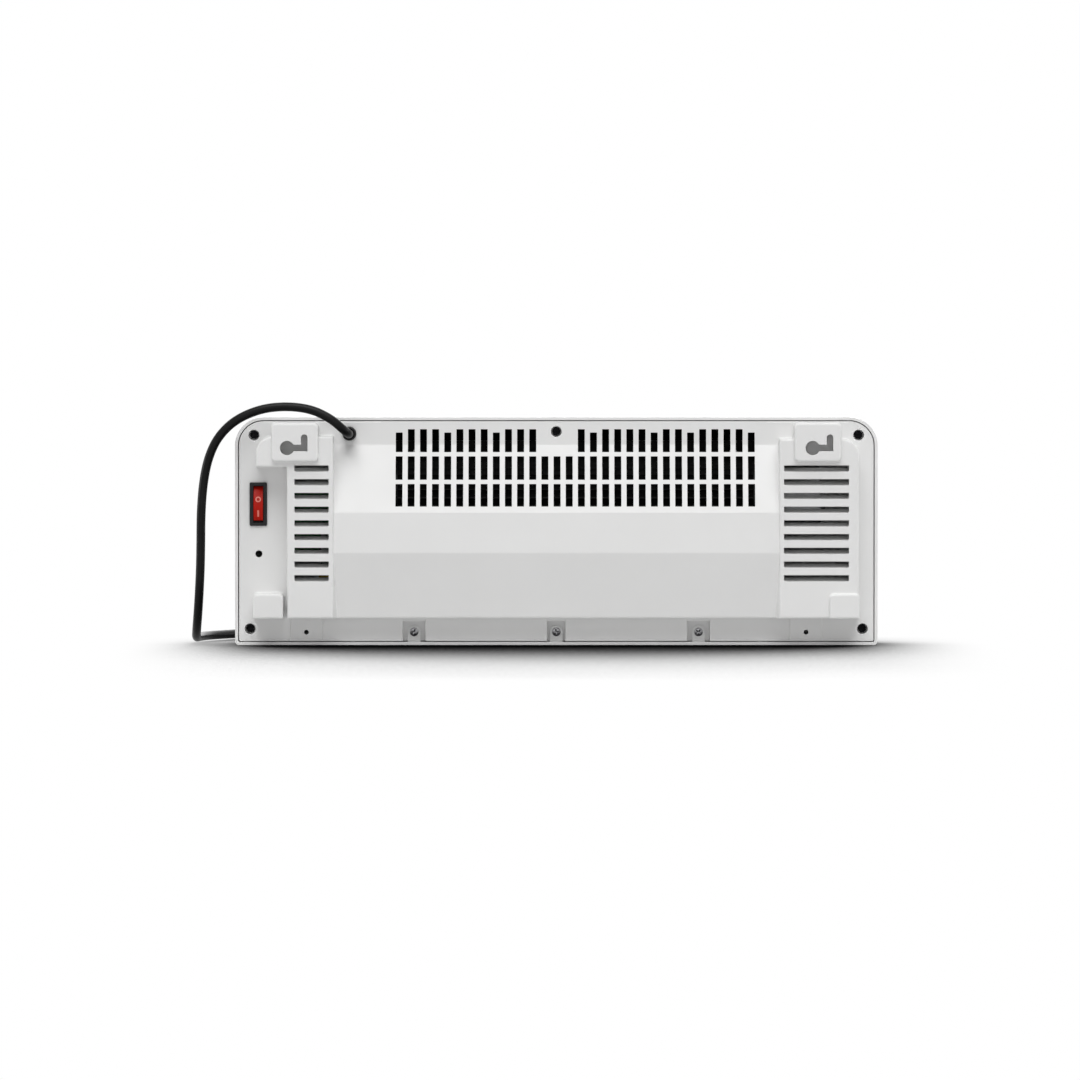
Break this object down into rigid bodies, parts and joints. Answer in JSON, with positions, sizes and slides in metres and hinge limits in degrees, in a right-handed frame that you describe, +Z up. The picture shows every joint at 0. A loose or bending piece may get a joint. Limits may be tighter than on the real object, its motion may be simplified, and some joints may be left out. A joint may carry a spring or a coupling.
{
  "type": "electric wall heater",
  "caption": "Slim wall-mounted electric fan heater with a slotted rear cover, keyhole wall pads, rear rocker switch, swinging outlet flap and a mains cord.",
  "frame": {"origin": "Under the middle of the body, on the surface that it stands on: the bottom centre of the body's box without the cord.", "axes": "+X is the switch side of the body along its length, +Y faces the wall, -Y is the front with the outlet, +Z is up."},
  "size_m": [0.5771, 0.2641, 0.2046],
  "materials": {
    "casing_white": "smooth white moulding",
    "cover_white": "fine-grained white moulding",
    "screw_steel": "zinc plated",
    "screw_black": "black oxide",
    "screw_bright": "bright plated",
    "switch_black": "black moulding",
    "terminal_brass": "stamped blades",
    "rocker_red": "glossy red moulding",
    "grommet_black": "moulded",
    "wheel_black": "black moulding",
    "shaft_steel": "ground",
    "bush_bronze": "sintered bronze",
    "duct_black": "black moulding",
    "motor_steel": "drawn can",
    "heater_frame_brown": "heat-resistant moulding",
    "heater_aluminium": "bare",
    "cutout_ceramic": "unglazed",
    "grille_black": "black moulding",
    "flap_white": "smooth white moulding",
    "bush_nylon": "natural nylon",
    "board_green": "solder mask",
    "relay_black": "black moulding",
    "capacitor_yellow": "yellow case",
    "terminal_grey": "grey moulding",
    "window_dark": "dark tinted window",
    "display_dark": "dark display block",
    "key_grey": "grey moulding",
    "cord_black": "smooth black sheath",
    "tie_black": "flat band",
    "plug_black": "moulded",
    "plug_nickel": "nickel plated"
  },
  "bodies": {
    "housing": {"front_casing": "casing_white", "rear_cover": "cover_white", "casing_screws": "screw_black", "lug_screws": "screw_bright", "switch_body": "switch_black", "switch_terminals": "terminal_brass", "cable_grommet": "grommet_black", "bearing_holder": "duct_black", "bearing_bush": "bush_bronze", "duct_scroll": "duct_black", "duct_tongue": "duct_black", "duct_screws": "screw_steel", "motor_housing": "motor_steel", "motor_bracket": "duct_black", "motor_screws": "screw_steel", "heater_frame": "heater_frame_brown", "heater_plates": "heater_aluminium", "heater_fins": "heater_aluminium", "heater_terminals": "terminal_brass", "thermal_cutout": "cutout_ceramic", "outlet_grille": "grille_black", "flap_bush": "bush_nylon", "flap_motor": "motor_steel", "power_board": "board_green", "board_spacers": "bush_nylon", "board_screws": "screw_steel", "relays": "relay_black", "capacitor": "capacitor_yellow", "terminal_block": "terminal_grey", "display_window": "window_dark", "display_board": "board_green", "led_display": "display_dark", "tact_switches": "relay_black", "cord_run": "cord_black", "cord_coil": "cord_black", "cord_tie": "tie_black", "cord_tail": "cord_black", "plug_body": "plug_black", "plug_pins": "plug_nickel", "plug_clips": "plug_nickel"},
    "rotor": {"blower_wheel": "wheel_black", "motor_shaft": "shaft_steel"},
    "flap": {"swing_flap": "flap_white", "flap_shaft": "shaft_steel"},
    "rocker": {"switch_rocker": "rocker_red"},
    "power_key": {"key_power": "key_grey"},
    "mode_key": {"key_mode": "key_grey"},
    "timer_key": {"key_timer": "key_grey"}
  },
  "joints": [
    {"name": "fan_spin", "type": "hinge", "parent": "housing", "child": "rotor", "pos_m": [0, 0.006, 0.124], "axis": [1, 0, 0], "continuous": true},
    {"name": "flap_swing", "type": "hinge", "parent": "housing", "child": "flap", "pos_m": [0, -0.01083, 0.01162], "axis": [1, 0, 0], "range_deg": [0, 50]},
    {"name": "rocker_tilt", "type": "hinge", "parent": "housing", "child": "rocker", "pos_m": [0.2504, 0.0244, 0.1185], "axis": [-1, 0, 0], "range_deg": [0, 16]},
    {"name": "power_key_press", "type": "slide", "parent": "housing", "child": "power_key", "axis": [0, 1, 0], "range_m": [0, 0.0012], "stiffness_N_per_m": 400, "springref_m": -0.001},
    {"name": "mode_key_press", "type": "slide", "parent": "housing", "child": "mode_key", "axis": [0, 1, 0], "range_m": [0, 0.0012], "stiffness_N_per_m": 400, "springref_m": -0.001},
    {"name": "timer_key_press", "type": "slide", "parent": "housing", "child": "timer_key", "axis": [0, 1, 0], "range_m": [0, 0.0012], "stiffness_N_per_m": 400, "springref_m": -0.001}
  ]
}
